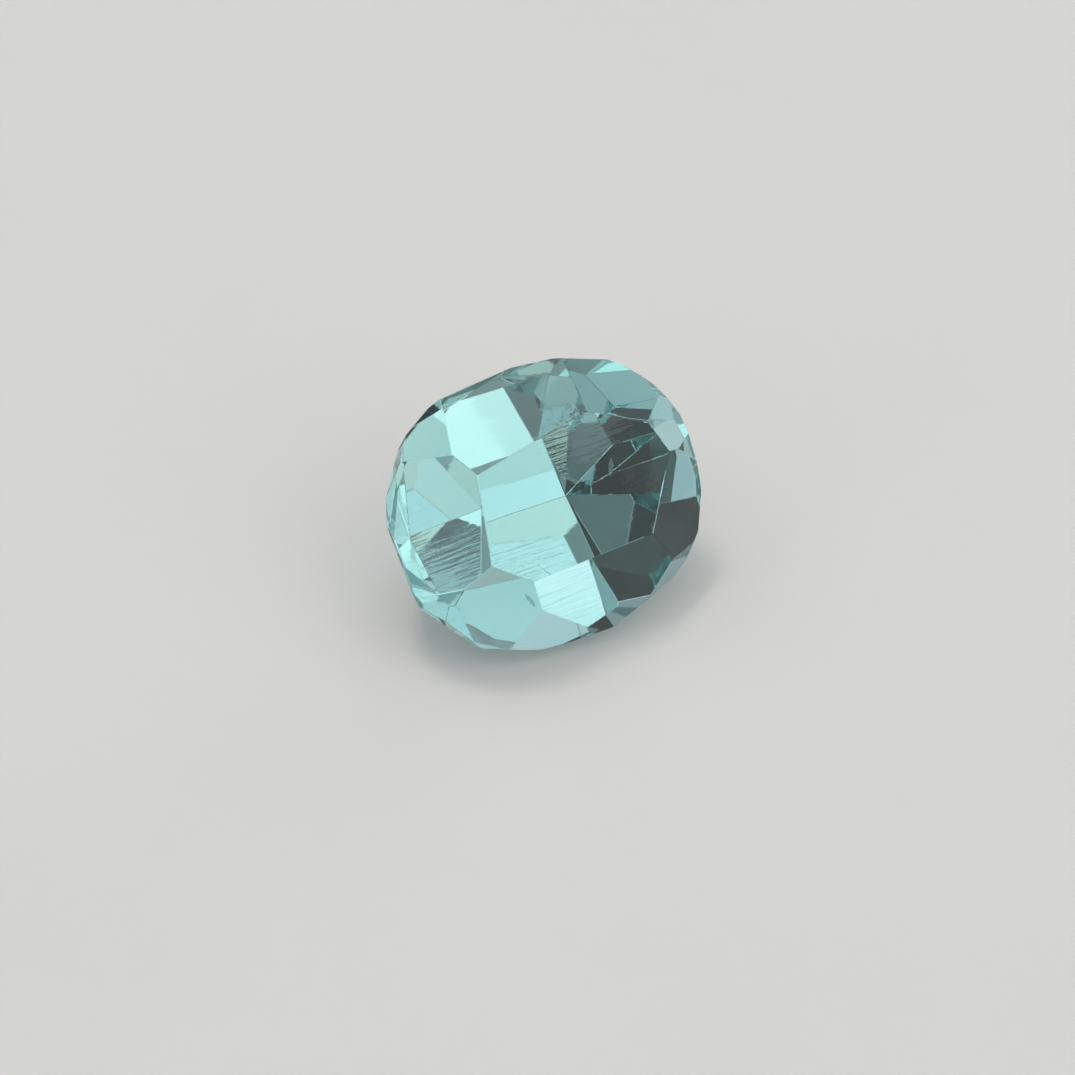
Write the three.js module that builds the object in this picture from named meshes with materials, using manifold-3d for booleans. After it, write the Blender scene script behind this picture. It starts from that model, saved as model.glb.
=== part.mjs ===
// A loose cut gemstone: one transparent stone, an oval cushion with a keel instead of a point
// underneath. It is made the way a cutter makes it: a rough block, then one flat lap per facet.
// The stone is cut with its table up, and is then laid down on one of its long keel facets.
// It is a hand cut, so facets that face each other differ by a few degrees.
import * as THREE from "three";
import { mergeVertices } from "three/addons/utils/BufferGeometryUtils.js";
import Module from "manifold-3d";

const wasm = await Module();
wasm.setup();

// Driving dimensions, in millimetres and degrees. The long axis is X and the short axis is Y.
const LENGTH = 11.8;
const WIDTH = 9.85;
const OUTLINE_POWER = 2.28; // 2 is an ellipse, higher is squarer
const GIRDLE_THICKNESS = 0.55;
const CROWN_HEIGHT = 1.75; // from the girdle's upper edge to the middle of the table
const TABLE_AZIMUTH = 6; // the direction the table leans to
const TABLE_LEAN = 5.5;
const KEEL_DEPTH = 5.65; // from the girdle's middle down to the keel
const KEEL_HALF_LENGTH = 1.7;
const KEEL_X = -0.3;
const KEEL_Y = -0.15;
const RESTING_SLOPE = 45.5; // the long keel facet at azimuth 270, on which the stone lies
const ROUGH_SIZE = 20; // edge of the rough block
const WHEEL_SIZE = 40; // edge of the block that stands for the lapping wheel

// The cutting plan. Azimuths run from the +X end towards +Y, and slopes from the girdle's plane.
// An inset is how far inside the outline a facet starts, at the girdle's edge on its own side.
const GIRDLE_FLATS = [
  { azimuth: 0, inset: 0.1 },
  { azimuth: 21, inset: 0 },
  { azimuth: 40, inset: -0.05 },
  { azimuth: 72, inset: 0.05 },
  { azimuth: 84, inset: 0.05 },
  { azimuth: 95, inset: 0.1 },
  { azimuth: 144, inset: 0.25 },
  { azimuth: 180, inset: 0.25 },
  { azimuth: 217, inset: 0.15 },
  { azimuth: 250, inset: -0.05 },
  { azimuth: 270, inset: -0.05 },
  { azimuth: 288, inset: 0.15 },
  { azimuth: 315, inset: 0.05 },
  { azimuth: 337, inset: 0.05 },
];
const CROWN_MAINS = [
  { azimuth: 19, slope: 36, inset: -0.3 },
  { azimuth: 56, slope: 36.5, inset: 0.1 },
  { azimuth: 92, slope: 33.5, inset: 0.05 },
  { azimuth: 131, slope: 51.5, inset: 0.35 },
  { azimuth: 168, slope: 45.5, inset: 0.85 },
  { azimuth: 197, slope: 48, inset: 0.1 },
  { azimuth: 237, slope: 42.5, inset: 0.15 },
  { azimuth: 281, slope: 33, inset: 0 },
  { azimuth: 318, slope: 44, inset: 0.1 },
  { azimuth: 332, slope: 36, inset: 0.2 },
  { azimuth: 353, slope: 40.5, inset: -0.2 },
];
const CROWN_BREAKS = [
  { azimuth: 11, slope: 67.5, inset: -0.1 },
  { azimuth: 37, slope: 52.5, inset: -0.05 },
  { azimuth: 63, slope: 44, inset: 0 },
  { azimuth: 95, slope: 42.5, inset: 0.1 },
  { azimuth: 101, slope: 49.5, inset: 0 },
  { azimuth: 126, slope: 57, inset: 0.25 },
  { azimuth: 184, slope: 56, inset: 0.35 },
  { azimuth: 202, slope: 66.5, inset: 0.3 },
  { azimuth: 220, slope: 58.5, inset: 0.2 },
  { azimuth: 237, slope: 54, inset: 0.1 },
  { azimuth: 260, slope: 48.5, inset: 0.15 },
  { azimuth: 264, slope: 47, inset: 0.05 },
  { azimuth: 298, slope: 55, inset: 0.2 },
  { azimuth: 343, slope: 55.5, inset: 0.05 },
];
// These facets pass through one end of the keel: 1 is the +X end and -1 is the -X end.
const KEEL_FACETS = [
  { azimuth: 357, slope: 49, end: 1 },
  { azimuth: 43, slope: 44, end: 1 },
  { azimuth: 89, slope: 40, end: 1 },
  { azimuth: 140, slope: 45.5, end: -1 },
  { azimuth: 178, slope: 42.5, end: -1 },
  { azimuth: 223, slope: 48, end: -1 },
  { azimuth: 270, slope: RESTING_SLOPE, end: -1 },
  { azimuth: 313, slope: 52, end: 1 },
];
const PAVILION_BREAKS = [
  { azimuth: 4, slope: 70.5, inset: 0.25 },
  { azimuth: 34, slope: 54.5, inset: 0.15 },
  { azimuth: 52, slope: 59.5, inset: 0.1 },
  { azimuth: 78, slope: 66.5, inset: 0 },
  { azimuth: 88, slope: 60, inset: 0.1 },
  { azimuth: 104, slope: 72, inset: 0.1 },
  { azimuth: 117, slope: 60.5, inset: 0.15 },
  { azimuth: 140, slope: 56, inset: 0.05 },
  { azimuth: 150, slope: 56.5, inset: 0.15 },
  { azimuth: 164, slope: 58.5, inset: 0.1 },
  { azimuth: 183, slope: 65.5, inset: 0.2 },
  { azimuth: 187, slope: 59, inset: 0.15 },
  { azimuth: 221, slope: 56, inset: 0.05 },
  { azimuth: 236, slope: 55, inset: -0.1 },
  { azimuth: 251, slope: 61, inset: 0.1 },
  { azimuth: 267, slope: 68, inset: 0.05 },
  { azimuth: 278, slope: 60.5, inset: 0.1 },
  { azimuth: 295, slope: 56.5, inset: 0.1 },
  { azimuth: 350, slope: 70, inset: 0.15 },
];

const stoneMaterial = new THREE.MeshStandardMaterial({
  color: 0x9fdcd6,
  roughness: 0.03,
  metalness: 0,
  transparent: true,
  opacity: 0.5,
  flatShading: true,
});

function solidFrom(geometry) {
  const bare = geometry.toNonIndexed();
  bare.deleteAttribute("normal");
  bare.deleteAttribute("uv");
  const merged = mergeVertices(bare, 1e-5);
  return new wasm.Manifold(new wasm.Mesh({
    numProp: 3,
    vertProperties: new Float32Array(merged.attributes.position.array),
    triVerts: new Uint32Array(merged.index.array),
  }));
}

function geometryFrom(solid) {
  const mesh = solid.getMesh();
  const geometry = new THREE.BufferGeometry();
  geometry.setAttribute("position", new THREE.Float32BufferAttribute(mesh.vertProperties, 3));
  geometry.setIndex([...mesh.triVerts]);
  return geometry;
}

// How far the outline reaches in a direction: a superellipse's support function.
function outlineReach(azimuth) {
  const angle = THREE.MathUtils.degToRad(azimuth);
  const dual = OUTLINE_POWER / (OUTLINE_POWER - 1);
  const alongX = Math.abs(Math.cos(angle)) * LENGTH / 2;
  const alongY = Math.abs(Math.sin(angle)) * WIDTH / 2;
  return (alongX ** dual + alongY ** dual) ** (1 / dual);
}

function pointAt(azimuth, radius, height) {
  const angle = THREE.MathUtils.degToRad(azimuth);
  return new THREE.Vector3(radius * Math.cos(angle), radius * Math.sin(angle), height);
}

// The outward direction of a facet: side is 1 on the crown and -1 on the pavilion.
function facetNormal(azimuth, slope, side) {
  const lean = THREE.MathUtils.degToRad(slope);
  return pointAt(azimuth, Math.sin(lean), side * Math.cos(lean));
}

// Grinds away everything beyond the plane through a point.
function lap(stone, normal, point) {
  const up = new THREE.Vector3(0, 0, 1);
  const wheel = new THREE.BoxGeometry(WHEEL_SIZE, WHEEL_SIZE, WHEEL_SIZE);
  wheel.translate(0, 0, WHEEL_SIZE / 2 + normal.dot(point));
  wheel.applyQuaternion(new THREE.Quaternion().setFromUnitVectors(up, normal));
  return stone.subtract(solidFrom(wheel));
}

const girdleTop = GIRDLE_THICKNESS / 2;
let stone = solidFrom(new THREE.BoxGeometry(ROUGH_SIZE, ROUGH_SIZE, ROUGH_SIZE));

for (const { azimuth, inset } of GIRDLE_FLATS) {
  const point = pointAt(azimuth, outlineReach(azimuth) - inset, 0);
  stone = lap(stone, facetNormal(azimuth, 90, 1), point);
}
for (const { azimuth, slope, inset } of [...CROWN_MAINS, ...CROWN_BREAKS]) {
  const point = pointAt(azimuth, outlineReach(azimuth) - inset, girdleTop);
  stone = lap(stone, facetNormal(azimuth, slope, 1), point);
}
const tableMiddle = new THREE.Vector3(0, 0, girdleTop + CROWN_HEIGHT);
stone = lap(stone, facetNormal(TABLE_AZIMUTH, TABLE_LEAN, 1), tableMiddle);

for (const { azimuth, slope, end } of KEEL_FACETS) {
  const keelEnd = new THREE.Vector3(KEEL_X + end * KEEL_HALF_LENGTH, KEEL_Y, -KEEL_DEPTH);
  stone = lap(stone, facetNormal(azimuth, slope, -1), keelEnd);
}
for (const { azimuth, slope, inset } of PAVILION_BREAKS) {
  const point = pointAt(azimuth, outlineReach(azimuth) - inset, -girdleTop);
  stone = lap(stone, facetNormal(azimuth, slope, -1), point);
}

// Turns the stone about its long axis until the resting facet faces straight down, then moves
// it so that the origin is in the middle of the stone's box, on the surface that it lies on.
const geometry = geometryFrom(stone);
geometry.rotateX(THREE.MathUtils.degToRad(RESTING_SLOPE));
geometry.computeBoundingBox();
const middle = geometry.boundingBox.getCenter(new THREE.Vector3());
geometry.translate(-middle.x, -middle.y, -geometry.boundingBox.min.z);
geometry.computeVertexNormals();

const gemstone = new THREE.Mesh(geometry, stoneMaterial);
gemstone.name = "gemstone";

const group = new THREE.Group();
group.add(gemstone);

export default group;
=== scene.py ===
"""A loose cut gemstone, clear and aqua, lying on one of its long facets on a pale floor.

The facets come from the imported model. Here each edge between them gets the hair-thin flat that
a polishing wheel leaves, and the crystal gets its refraction, its body colour, the marks of its
polishing and the small flaws inside it. Lengths are in metres.
"""
import math

import bmesh
import bpy
from mathutils import Matrix, Vector, noise


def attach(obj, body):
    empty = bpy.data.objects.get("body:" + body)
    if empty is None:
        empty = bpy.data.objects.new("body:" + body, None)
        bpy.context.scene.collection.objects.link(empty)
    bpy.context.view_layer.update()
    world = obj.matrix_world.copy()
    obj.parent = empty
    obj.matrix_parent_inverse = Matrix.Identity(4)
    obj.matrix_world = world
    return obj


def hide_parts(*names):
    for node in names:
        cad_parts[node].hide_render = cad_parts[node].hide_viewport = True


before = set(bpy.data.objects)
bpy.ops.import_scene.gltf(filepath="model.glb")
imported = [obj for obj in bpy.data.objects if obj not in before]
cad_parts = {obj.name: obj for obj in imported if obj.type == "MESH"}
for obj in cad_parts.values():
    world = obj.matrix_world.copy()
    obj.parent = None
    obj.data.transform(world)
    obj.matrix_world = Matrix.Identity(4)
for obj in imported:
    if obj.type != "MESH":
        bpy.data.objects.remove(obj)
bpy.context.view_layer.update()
scene = bpy.context.scene

MM = 0.001  # a millimetre

# The camera. It looks along +Y from azimuth 0, and along -X from azimuth 90.
VIEW_WIDTH = 38.12 * MM  # how wide the view is at the stone
CAMERA_AZIMUTH = -26.9
CAMERA_ELEVATION = 43.9
CAMERA_DISTANCE = 200 * MM
CAMERA_AIM = Vector((-0.66, -0.98, 3.18)) * MM
CAMERA_NEAREST = 1 * MM
SENSOR_WIDTH = 36.0

# The crystal.
REFRACTIVE_INDEX = 1.66
CLEAR = (1.0, 1.0, 1.0, 1.0)
BODY_COLOUR = (0.20, 0.65, 0.65, 1.0)
BODY_DENSITY = 100.0  # absorption per metre
EDGE_FLAT = 0.03 * MM  # width of the flat along each facet edge
WELD_DISTANCE = 1e-7
CUT_TOLERANCE = 1e-9
FLAT_ANGLE = math.radians(0.1)  # triangles that differ by less than this are one facet

# The polish: a haze in patches, and fine lines along X that are deeper in some places.
# A scale is in patches per metre.
HAZE_SCALE = 700
HAZE_ROUGHNESS = 0.04  # where the polish is dullest
LINES_SCALE = 500
LINES_STRETCH = (1, 12, 12)
LINES_DEPTH = 0.004 * MM
LINES_STRENGTH = 0.3
DEEP_PLACES_SCALE = 330
SHALLOWEST_LINES = 0.1

# The milky flaws: each one's start and end in millimetres, its width and its unevenness.
FLAWS = {
    "inclusion": ((2.63, 0.70, 4.02), (2.44, 0.34, 3.67), 0.15 * MM, 0.9),
    "needle_inclusion": ((1.57, 2.77, 7.55), (0.51, 1.08, 7.17), 0.05 * MM, 0.4),
}
FLAW_THICKNESS = 0.6  # of its width
FLAW_LUMPS = 5  # how many lumps there are from end to end
MILKY_COVER = 0.2  # how much of the light a flaw stops
MILKY_SCALE = 9000
MILKY_DARK = (0.55, 0.66, 0.64, 1.0)
MILKY_PALE = (0.92, 0.96, 0.94, 1.0)
MILKY_ROUGHNESS = (0.45, 0.75)

# The floor.
FLOOR_SIDE = 3.0
FLOOR_GAP = 0.01 * MM  # keeps the floor and the resting facet from sharing one plane
FLOOR_SCALE = 60
FLOOR_DARK = (0.75, 0.75, 0.74, 1.0)
FLOOR_PALE = (0.80, 0.80, 0.80, 1.0)
FLOOR_ROUGHNESS = (0.65, 0.8)

# The lights and the room.
LIGHT_DISTANCE = 0.5
NEUTRAL = (1.0, 1.0, 1.0)
WARM = (1.12, 1.0, 0.88)
COOL = (0.88, 1.0, 1.05)
ROOM_GLOW = (0.03, 0.03, 0.03, 1.0)  # the unlit room, as the stone sees it
ROOM_SEEN = (0.6, 0.6, 0.6, 1.0)  # as the camera sees it, which is as pale as the floor
LONGEST_PATH = 32  # bounces
LONGEST_PATH_IN_STONE = 24


def direction(azimuth, elevation):
    """The unit vector towards a place, with azimuth 0 at the front and 90 at the right."""
    a = math.radians(azimuth)
    e = math.radians(elevation)
    return Vector((math.sin(a) * math.cos(e), -math.cos(a) * math.cos(e), math.sin(e)))


def new_object(name, shape):
    """An object at the origin, made from a finished bmesh."""
    mesh = bpy.data.meshes.new(name)
    shape.to_mesh(mesh)
    shape.free()
    made = bpy.data.objects.new(name, mesh)
    scene.collection.objects.link(made)
    return made


def new_material(name):
    """A material with its node tree and its Principled BSDF."""
    material = bpy.data.materials.new(name)
    material.use_nodes = True
    tree = material.node_tree
    return material, tree, tree.nodes["Principled BSDF"]


# ---- Patchiness, which every material uses ----

def patchiness_group():
    """Soft noise that stays on the piece: as it is, spread over a range, and as a colour.

    Low and High are what the value reaches where the noise is at Faint and at Full.
    """
    group = bpy.data.node_groups.new("patchiness", "ShaderNodeTree")
    sockets = (
        ("Scale", "INPUT", "NodeSocketFloat", 1.0),
        ("Detail", "INPUT", "NodeSocketFloat", 1.0),
        ("Stretch", "INPUT", "NodeSocketVector", (1.0, 1.0, 1.0)),
        ("Faint", "INPUT", "NodeSocketFloat", 0.0),
        ("Full", "INPUT", "NodeSocketFloat", 1.0),
        ("Low", "INPUT", "NodeSocketFloat", 0.0),
        ("High", "INPUT", "NodeSocketFloat", 1.0),
        ("First Colour", "INPUT", "NodeSocketColor", (0.0, 0.0, 0.0, 1.0)),
        ("Second Colour", "INPUT", "NodeSocketColor", (1.0, 1.0, 1.0, 1.0)),
        ("Noise", "OUTPUT", "NodeSocketFloat", 0.0),
        ("Value", "OUTPUT", "NodeSocketFloat", 0.0),
        ("Colour", "OUTPUT", "NodeSocketColor", (0.0, 0.0, 0.0, 1.0)),
    )
    for name, side, kind, value in sockets:
        socket = group.interface.new_socket(name, in_out=side, socket_type=kind)
        socket.default_value = value
    given = group.nodes.new("NodeGroupInput").outputs
    result = group.nodes.new("NodeGroupOutput").inputs
    place = group.nodes.new("ShaderNodeTexCoord")
    stretch = group.nodes.new("ShaderNodeMapping")
    patches = group.nodes.new("ShaderNodeTexNoise")
    spread = group.nodes.new("ShaderNodeMapRange")
    blend = group.nodes.new("ShaderNodeMix")
    blend.data_type = "RGBA"
    wires = (
        (place.outputs["Object"], stretch.inputs["Vector"]),
        (given["Stretch"], stretch.inputs["Scale"]),
        (stretch.outputs["Vector"], patches.inputs["Vector"]),
        (given["Scale"], patches.inputs["Scale"]),
        (given["Detail"], patches.inputs["Detail"]),
        (patches.outputs["Fac"], spread.inputs["Value"]),
        (given["Faint"], spread.inputs["From Min"]),
        (given["Full"], spread.inputs["From Max"]),
        (given["Low"], spread.inputs["To Min"]),
        (given["High"], spread.inputs["To Max"]),
        (patches.outputs["Fac"], blend.inputs["Factor"]),
        (given["First Colour"], blend.inputs["A"]),
        (given["Second Colour"], blend.inputs["B"]),
        (patches.outputs["Fac"], result["Noise"]),
        (spread.outputs["Result"], result["Value"]),
        (blend.outputs["Result"], result["Colour"]),
    )
    for source, target in wires:
        group.links.new(source, target)
    return group


patchiness = patchiness_group()


def patchy(tree, **values):
    """The patchiness group placed in a material with its own values, named as its sockets are."""
    node = tree.nodes.new("ShaderNodeGroup")
    node.node_tree = patchiness
    for name, value in values.items():
        node.inputs[name.replace("_", " ").title()].default_value = value
    return node.outputs


def clouded(tree, surface, scale, dark, pale, roughness):
    """Gives a matt surface a faint cloudiness, in its colour and its roughness alike."""
    cloud = patchy(
        tree, scale=scale, detail=3, faint=0.3, full=0.7, low=roughness[0], high=roughness[1],
        first_colour=dark, second_colour=pale,
    )
    tree.links.new(cloud["Colour"], surface.inputs["Base Color"])
    tree.links.new(cloud["Value"], surface.inputs["Roughness"])


# ---- The stone ----

def grind(shape, point, normal):
    """Cuts off what lies beyond a plane, and closes the body with one flat face."""
    everything = list(shape.verts) + list(shape.edges) + list(shape.faces)
    bmesh.ops.bisect_plane(
        shape, geom=everything, dist=CUT_TOLERANCE, plane_co=point, plane_no=normal,
        clear_outer=True,
    )
    rim = [edge for edge in shape.edges if edge.is_boundary]
    if rim:
        bmesh.ops.contextual_create(shape, geom=rim)


def polished_stone(node):
    """The CAD stone's own facets, with a hair-thin flat along each edge between them."""
    shape = bmesh.new()
    shape.from_mesh(node.data)
    bmesh.ops.remove_doubles(shape, verts=shape.verts, dist=WELD_DISTANCE)
    bmesh.ops.dissolve_limit(
        shape, angle_limit=FLAT_ANGLE, verts=shape.verts, edges=shape.edges
    )
    shape.normal_update()
    flats = []
    for edge in shape.edges:
        here, there = (face.normal for face in edge.link_faces)
        outward = (here + there).normalized()
        depth = EDGE_FLAT / 2 * math.tan(here.angle(there) / 2)
        middle = (edge.verts[0].co + edge.verts[1].co) / 2
        flats.append((middle - outward * depth, outward))
    for point, outward in flats:
        grind(shape, point, outward)
    bmesh.ops.recalc_face_normals(shape, faces=shape.faces)
    for face in shape.faces:
        face.smooth = False
    stone = new_object("polished_gemstone", shape)
    if "custom_normal" in stone.data.attributes:
        stone.data.attributes.remove(stone.data.attributes["custom_normal"])
    return stone


def crystal_material():
    """Clear aqua crystal: refraction at the facets, and colour that deepens with its depth."""
    material, tree, surface = new_material("aqua_crystal")
    surface.inputs["Base Color"].default_value = CLEAR
    surface.inputs["Transmission Weight"].default_value = 1.0
    surface.inputs["IOR"].default_value = REFRACTIVE_INDEX
    haze = patchy(tree, scale=HAZE_SCALE, detail=5, faint=0.45, full=0.75, high=HAZE_ROUGHNESS)
    tree.links.new(haze["Value"], surface.inputs["Roughness"])
    lines = patchy(tree, scale=LINES_SCALE, detail=3, stretch=LINES_STRETCH)
    deep_places = patchy(
        tree, scale=DEEP_PLACES_SCALE, detail=1, faint=0.45, full=0.65, low=SHALLOWEST_LINES
    )
    ridges = tree.nodes.new("ShaderNodeMath")
    ridges.operation = "MULTIPLY"
    tree.links.new(lines["Noise"], ridges.inputs[0])
    tree.links.new(deep_places["Value"], ridges.inputs[1])
    relief = tree.nodes.new("ShaderNodeBump")
    relief.inputs["Strength"].default_value = LINES_STRENGTH
    relief.inputs["Distance"].default_value = LINES_DEPTH
    tree.links.new(ridges.outputs["Value"], relief.inputs["Height"])
    tree.links.new(relief.outputs["Normal"], surface.inputs["Normal"])
    body = tree.nodes.new("ShaderNodeVolumeAbsorption")
    body.inputs["Color"].default_value = BODY_COLOUR
    body.inputs["Density"].default_value = BODY_DENSITY
    tree.links.new(body.outputs["Volume"], tree.nodes["Material Output"].inputs["Volume"])
    return material


def milky_material():
    """The white, matt, slightly mottled look of a healed crack."""
    material, tree, surface = new_material("milky_flaw")
    clouded(tree, surface, MILKY_SCALE, MILKY_DARK, MILKY_PALE, MILKY_ROUGHNESS)
    surface.inputs["Alpha"].default_value = MILKY_COVER
    return material


def sliver(name, start, end, width, unevenness):
    """A thin uneven spindle between two points inside the stone."""
    shape = bmesh.new()
    bmesh.ops.create_icosphere(shape, subdivisions=3, radius=0.5)
    along = end - start
    for vertex in shape.verts:
        vertex.co *= 1 + unevenness * noise.noise(vertex.co * FLAW_LUMPS)
    size = (width, width * FLAW_THICKNESS, along.length)
    bmesh.ops.scale(shape, verts=shape.verts, vec=size)
    turn = along.to_track_quat("Z", "Y").to_matrix()
    bmesh.ops.rotate(shape, verts=shape.verts, cent=(0, 0, 0), matrix=turn)
    bmesh.ops.translate(shape, verts=shape.verts, vec=(start + end) / 2)
    return new_object(name, shape)


stone = polished_stone(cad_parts["gemstone"])
stone.data.materials.clear()
stone.data.materials.append(crystal_material())
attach(stone, "root")
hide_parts("gemstone")

milky = milky_material()
for name, (start, end, width, unevenness) in FLAWS.items():
    flaw = sliver(name, Vector(start) * MM, Vector(end) * MM, width, unevenness)
    flaw.data.materials.append(milky)
    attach(flaw, "root")


# ---- The floor, the lights, the room and the camera ----

def pale_floor():
    """A wide, even, pale matt floor under the stone, as faintly clouded as smooth card."""
    shape = bmesh.new()
    bmesh.ops.create_grid(shape, x_segments=1, y_segments=1, size=FLOOR_SIDE / 2)
    bmesh.ops.translate(shape, verts=shape.verts, vec=(0, 0, -FLOOR_GAP))
    floor = new_object("floor", shape)
    material, tree, surface = new_material("pale_floor")
    clouded(tree, surface, FLOOR_SCALE, FLOOR_DARK, FLOOR_PALE, FLOOR_ROUGHNESS)
    floor.data.materials.append(material)


def soft_light(name, azimuth, elevation, width, height, brightness, tint=NEUTRAL):
    """A rectangular soft light that faces the stone and looks equally bright from anywhere."""
    lamp = bpy.data.lights.new(name, "AREA")
    lamp.shape = "RECTANGLE"
    lamp.size = width
    lamp.size_y = height
    lamp.energy = brightness * math.pi * width * height
    lamp.color = tint
    light = bpy.data.objects.new(name, lamp)
    light.location = direction(azimuth, elevation) * LIGHT_DISTANCE
    light.rotation_euler = (-light.location).to_track_quat("-Z", "Y").to_euler()
    light.visible_camera = False
    scene.collection.objects.link(light)


def room():
    """A dim room round the lights, which the camera itself sees as pale as the floor."""
    world = bpy.data.worlds.new("room")
    world.use_nodes = True
    tree = world.node_tree
    paths = tree.nodes.new("ShaderNodeLightPath")
    shade = tree.nodes.new("ShaderNodeMix")
    shade.data_type = "RGBA"
    shade.inputs["A"].default_value = ROOM_GLOW
    shade.inputs["B"].default_value = ROOM_SEEN
    tree.links.new(paths.outputs["Is Camera Ray"], shade.inputs["Factor"])
    tree.links.new(shade.outputs["Result"], tree.nodes["Background"].inputs["Color"])
    scene.world = world


def camera():
    """Looks down at the stone from the front left."""
    back = direction(CAMERA_AZIMUTH, CAMERA_ELEVATION)
    right = Vector((0, 0, 1)).cross(back).normalized()
    up = back.cross(right)
    data = bpy.data.cameras.new("camera")
    data.sensor_width = SENSOR_WIDTH
    data.lens = SENSOR_WIDTH * CAMERA_DISTANCE / VIEW_WIDTH
    data.clip_start = CAMERA_NEAREST
    made = bpy.data.objects.new("camera", data)
    made.location = CAMERA_AIM + back * CAMERA_DISTANCE
    made.rotation_euler = Matrix((right, up, back)).transposed().to_euler()
    scene.collection.objects.link(made)
    scene.camera = made


pale_floor()

# Each light's name, azimuth, elevation, width, height, brightness and tint. The key light has
# a dim gap with two narrow strips in it, which pick out the stone's polishing lines.
soft_light("key_wide", 22, 45, 0.28, 0.56, 0.60)
soft_light("key_wide_right", 53, 56, 0.13, 0.30, 0.60)
soft_light("key_side", 52, 35, 0.06, 0.07, 0.60)
soft_light("key_side_low", 46, 23, 0.12, 0.16, 0.60)
soft_light("key_strip_high", 43.5, 37.4, 0.06, 0.012, 0.60)
soft_light("key_strip_low", 43.5, 34.8, 0.06, 0.012, 0.60)
soft_light("key_dim", 43.5, 36, 0.055, 0.055, 0.12, COOL)
soft_light("key_high", 45, 55, 0.24, 0.28, 0.45, WARM)
soft_light("key_low_left", 0.5, 30, 0.20, 0.16, 0.50)
soft_light("key_low", 22.5, 29, 0.13, 0.14, 0.50)
soft_light("key_low_right", 37, 26, 0.11, 0.105, 0.50)
soft_light("front_wide", -10, 45, 0.46, 0.30, 0.36)
soft_light("front_high", -5, 65, 0.32, 0.22, 0.25, WARM)
soft_light("front_left", -40, 40, 0.46, 0.18, 0.20)
soft_light("front_left_low", -50, 25, 0.22, 0.12, 0.75, WARM)
soft_light("left_side", -85, 30, 0.14, 0.18, 0.90, COOL)
soft_light("left_low", -95, 10, 0.52, 0.32, 0.65, COOL)
soft_light("right_strip", 65, 20, 0.24, 0.38, 0.55, COOL)
soft_light("right_high", 85, 50, 0.14, 0.14, 1.10, WARM)
soft_light("right_side", 105, 35, 0.10, 0.16, 0.45, COOL)
soft_light("right_low", 105, 5, 0.32, 0.14, 1.85, COOL)
soft_light("back_low", 115, 10, 0.24, 0.24, 0.40, COOL)
soft_light("back_wide", 125, 50, 0.24, 0.50, 0.75, COOL)
soft_light("back_right", 145, 20, 0.12, 0.36, 0.75)
soft_light("back_left", -155, 30, 0.60, 0.54, 0.35, COOL)
soft_light("back_high", -135, 70, 0.66, 0.68, 0.65)
soft_light("floor_lamp", -170, 70, 0.11, 0.11, 10.5, WARM)

room()
camera()

scene.view_settings.view_transform = "Standard"
scene.view_settings.exposure = 0.0
scene.cycles.max_bounces = LONGEST_PATH
scene.cycles.glossy_bounces = LONGEST_PATH_IN_STONE
scene.cycles.transmission_bounces = LONGEST_PATH_IN_STONE
scene.cycles.use_denoising = True
scene.cycles.denoising_prefilter = "ACCURATE"
scene.cycles.sampling_pattern = "TABULATED_SOBOL"
